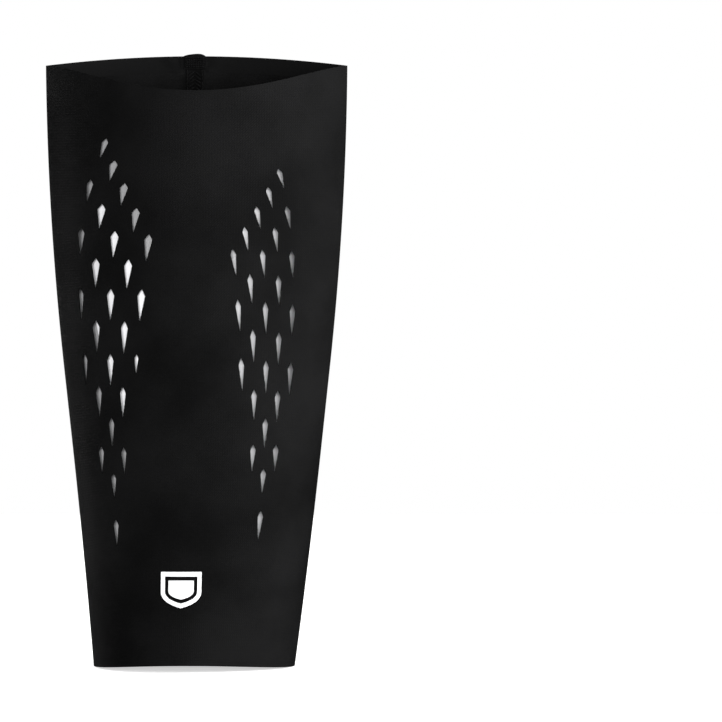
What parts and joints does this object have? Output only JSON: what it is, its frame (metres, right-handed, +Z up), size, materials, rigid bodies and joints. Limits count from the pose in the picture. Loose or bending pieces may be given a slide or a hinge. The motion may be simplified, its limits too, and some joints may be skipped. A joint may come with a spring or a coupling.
{
  "type": "shin guard",
  "caption": "Compression-sleeve shin guard: tapered knitted tube with two groups of kite-shaped air cuts, rear seam, inner pocket and a curved slide-out plate.",
  "frame": {"origin": "on the bottom hem plane, under the middle of the bounding box", "axes": "+Z up the leg to the top rim, -Y toward the front of the shin, +X to the right side as seen from the front"},
  "size_m": [0.1504, 0.0614, 0.3063],
  "materials": {
    "knit_black": "matt knit",
    "lining_black": "matt knit",
    "tape_black": "woven",
    "thread_black": "twisted thread",
    "film_black": "satin film",
    "grip_silicone": "satin",
    "transfer_white": "matt",
    "label_white": "satin woven",
    "plate_grey": "semi gloss",
    "plate_white": "semi gloss",
    "foam_grey": "closed-cell foam",
    "backing_black": "brushed textile"
  },
  "bodies": {
    "sleeve": {"sleeve_panel": "knit_black", "seam_tape": "tape_black", "seam_rail_thread_left": "thread_black", "seam_rail_thread_right": "thread_black", "seam_zigzag_thread": "thread_black", "seam_outer_thread": "thread_black", "seam_top_fold": "tape_black", "seam_bottom_fold": "tape_black", "top_bartack": "thread_black", "bottom_bartack": "thread_black", "top_hem_film": "film_black", "bottom_hem_film": "film_black", "grip_stripes": "grip_silicone", "emblem_transfer": "transfer_white", "care_label": "label_white", "label_stitch": "thread_black", "pocket_liner": "lining_black", "pocket_side_seam_left": "tape_black", "pocket_side_seam_right": "tape_black", "pocket_bottom_seam": "tape_black", "pocket_mouth_binding": "tape_black"},
    "plate": {"plate_shell": "plate_grey", "plate_foam": "foam_grey", "plate_backing": "backing_black", "plate_stripe": "plate_white"}
  },
  "joints": [
    {"name": "plate_slide", "type": "slide", "parent": "sleeve", "child": "plate", "axis": [0, 0, 1], "range_m": [0, 0.235]}
  ]
}
